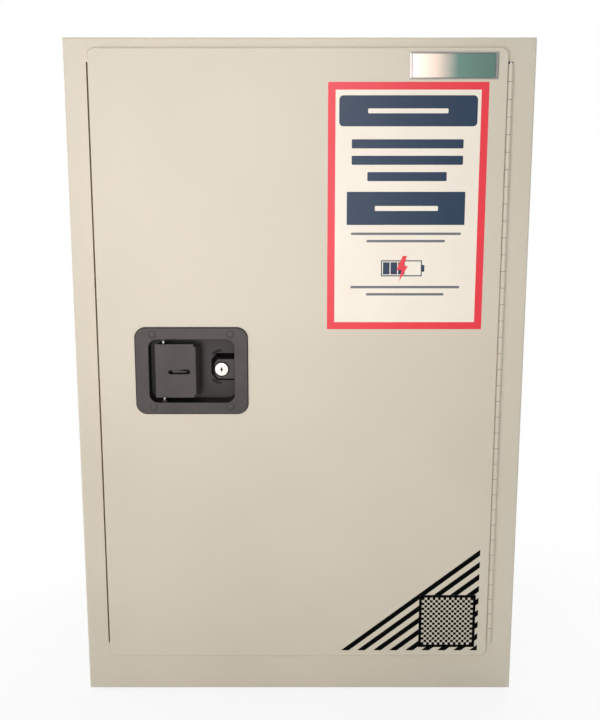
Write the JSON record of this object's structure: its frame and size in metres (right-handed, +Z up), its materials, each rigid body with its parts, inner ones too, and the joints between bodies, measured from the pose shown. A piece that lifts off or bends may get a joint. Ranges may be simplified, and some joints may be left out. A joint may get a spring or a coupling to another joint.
{
  "type": "battery cabinet",
  "caption": "Fire-rated steel battery charging cabinet with an insulated door on a piano hinge, flush paddle latch, shelves, power rails and fan.",
  "frame": {"origin": "on the floor, below the middle of the whole object's box", "axes": "+Z up; the door's outside faces -Y; +X to the right of someone facing the door"},
  "size_m": [0.59, 0.4928, 0.89],
  "materials": {
    "cream_powder_coat": "semi-gloss, fine texture",
    "liner_paint": "satin",
    "insulation_board": "matt",
    "zinc_steel": "satin",
    "blind_rivet": "satin",
    "latch_coating": "satin charcoal",
    "gasket_rubber": "matt",
    "intumescent_seal": "matt",
    "lock_nickel": "bright",
    "spring_steel": "bright",
    "plate_steel": "brushed",
    "rail_aluminium": "anodised",
    "outlet_plastic": "gloss",
    "switch_plastic": "gloss",
    "duct_plastic": "matt",
    "black_plastic": "matt",
    "intumescent_block": "matt graphite grey",
    "brass": "machined",
    "glide_rubber": "matt"
  },
  "bodies": {
    "cabinet": {"outer_wrap": "cream_powder_coat", "base_panel": "cream_powder_coat", "back_panel": "cream_powder_coat", "front_frame": "cream_powder_coat", "back_rivets": "blind_rivet", "inner_liner": "liner_paint", "insulation_left": "insulation_board", "insulation_right": "insulation_board", "insulation_top": "insulation_board", "insulation_floor": "insulation_board", "insulation_back": "insulation_board", "strike_box": "zinc_steel", "levelling_feet": "glide_rubber", "foot_bosses": "zinc_steel", "hinge_frame_leaf": "cream_powder_coat", "hinge_pin": "zinc_steel", "shelf_standards": "zinc_steel", "shelf_clips": "zinc_steel", "lower_shelf": "liner_paint", "upper_shelf": "liner_paint", "lower_power_rail": "rail_aluminium", "upper_power_rail": "rail_aluminium", "lower_outlets": "outlet_plastic", "upper_outlets": "outlet_plastic", "cable_duct": "duct_plastic", "thermostat": "outlet_plastic", "fan_frame": "black_plastic", "fan_leads": "black_plastic", "fan_guard": "spring_steel", "exhaust_vent_core": "intumescent_block", "intake_vent_core": "intumescent_block", "exhaust_louvre": "cream_powder_coat", "intake_louvre": "cream_powder_coat", "intake_grille": "liner_paint", "cable_gland": "black_plastic", "gland_locknut": "black_plastic", "cable_sleeve": "black_plastic", "earth_stud": "brass", "earth_nut": "brass"},
    "door": {"door_skin": "cream_powder_coat", "door_liner": "liner_paint", "door_core": "insulation_board", "door_seal": "intumescent_seal", "hinge_door_leaf": "cream_powder_coat", "latch_tray": "latch_coating", "tray_gasket": "gasket_rubber", "latch_rivets": "latch_coating", "paddle_pin": "spring_steel", "paddle_spring": "spring_steel", "bolt_guide": "zinc_steel", "lock_barrel": "lock_nickel", "nameplate": "plate_steel"},
    "paddle": {"latch_paddle": "latch_coating"},
    "bolt": {"latch_bolt": "zinc_steel"},
    "lock": {"lock_plug": "lock_nickel", "lock_cam": "zinc_steel"},
    "fan": {"fan_rotor": "black_plastic"},
    "dial": {"thermostat_dial": "black_plastic"},
    "lower_switch": {"lower_rocker": "switch_plastic"},
    "upper_switch": {"upper_rocker": "switch_plastic"}
  },
  "joints": [
    {"name": "door_hinge", "type": "hinge", "parent": "cabinet", "child": "door", "pos_m": [0.2629, -0.23925, 0.467], "axis": [0, 0, 1], "range_deg": [0, 150]},
    {"name": "paddle_pivot", "type": "hinge", "parent": "door", "child": "paddle", "pos_m": [-0.179, -0.23765, 0.4655], "axis": [0, 0, -1], "range_deg": [0, 35], "stiffness_Nm_per_rad": 0.6, "springref_deg": -20.05},
    {"name": "bolt_slide", "type": "slide", "parent": "door", "child": "bolt", "axis": [1, 0, 0], "range_m": [0, 0.0155]},
    {"name": "lock_turn", "type": "hinge", "parent": "door", "child": "lock", "pos_m": [-0.1032, -0.21865, 0.4655], "axis": [0, 1, 0], "range_deg": [0, 90]},
    {"name": "fan_spin", "type": "hinge", "parent": "cabinet", "child": "fan", "pos_m": [0, 0.16685, 0.775], "axis": [0, 1, 0], "continuous": true},
    {"name": "thermostat_turn", "type": "hinge", "parent": "cabinet", "child": "dial", "pos_m": [0.15, 0.14335, 0.783], "axis": [0, 1, 0], "range_deg": [-135, 135]},
    {"name": "lower_switch_rock", "type": "hinge", "parent": "cabinet", "child": "lower_switch", "pos_m": [-0.171, 0.14235, 0.39267], "axis": [1, 0, 0], "range_deg": [-20, 0]},
    {"name": "upper_switch_rock", "type": "hinge", "parent": "cabinet", "child": "upper_switch", "pos_m": [-0.171, 0.14235, 0.65267], "axis": [1, 0, 0], "range_deg": [-20, 0]}
  ],
  "couplings": [
    {"joint": "bolt_slide", "follows": "paddle_pivot", "m_per_rad": 0.025352}
  ]
}
